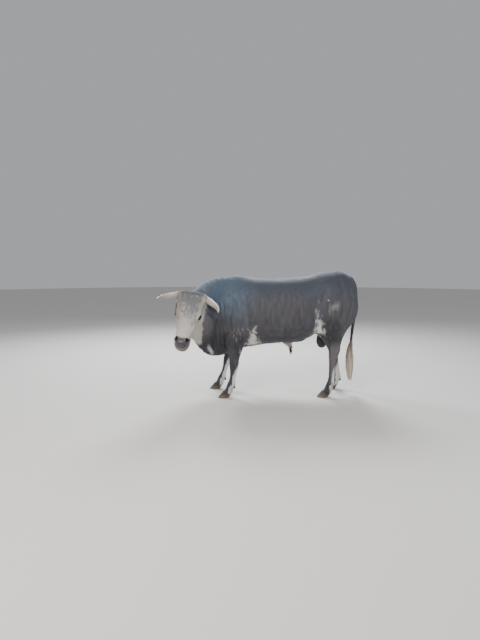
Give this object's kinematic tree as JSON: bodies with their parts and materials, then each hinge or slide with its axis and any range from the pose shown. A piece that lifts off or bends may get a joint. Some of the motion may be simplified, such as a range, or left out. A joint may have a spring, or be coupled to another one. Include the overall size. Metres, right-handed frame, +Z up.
{
  "type": "standing bull figure",
  "caption": "Life-size standing bull with lowered head turned to its left, short horns and a long tail switch; a still display model.",
  "frame": {"origin": "bottom centre of the bounding box, on the floor the hooves stand on", "axes": "+Z up, -X towards the chest, -Y towards the animal's left, to which its head is turned"},
  "size_m": [2.2494, 1.2358, 1.4574],
  "materials": {
    "coat_dark": "short dark slate-brown hair",
    "coat_pale": "short cream-white hair",
    "horn": "satin horn",
    "claw": "satin hoof horn",
    "eye": "wet dark eye",
    "hair_pale": "long cream hair"
  },
  "bodies": {
    "root": {"torso": "coat_dark", "neck": "coat_dark", "head": "coat_pale", "left_ear": "coat_dark", "right_ear": "coat_dark", "left_horn": "horn", "right_horn": "horn", "left_eye": "eye", "right_eye": "eye", "left_foreleg": "coat_dark", "right_foreleg": "coat_dark", "left_hindleg": "coat_dark", "right_hindleg": "coat_dark", "left_foreleg_outer_claw": "claw", "left_foreleg_inner_claw": "claw", "right_foreleg_outer_claw": "claw", "right_foreleg_inner_claw": "claw", "left_hindleg_outer_claw": "claw", "left_hindleg_inner_claw": "claw", "right_hindleg_outer_claw": "claw", "right_hindleg_inner_claw": "claw", "left_foreleg_outer_dewclaw": "claw", "left_foreleg_inner_dewclaw": "claw", "right_foreleg_outer_dewclaw": "claw", "right_foreleg_inner_dewclaw": "claw", "left_hindleg_outer_dewclaw": "claw", "left_hindleg_inner_dewclaw": "claw", "right_hindleg_outer_dewclaw": "claw", "right_hindleg_inner_dewclaw": "claw", "tail": "coat_dark", "tail_switch": "hair_pale", "scrotum": "coat_dark", "sheath": "coat_dark"}
  },
  "joints": []
}
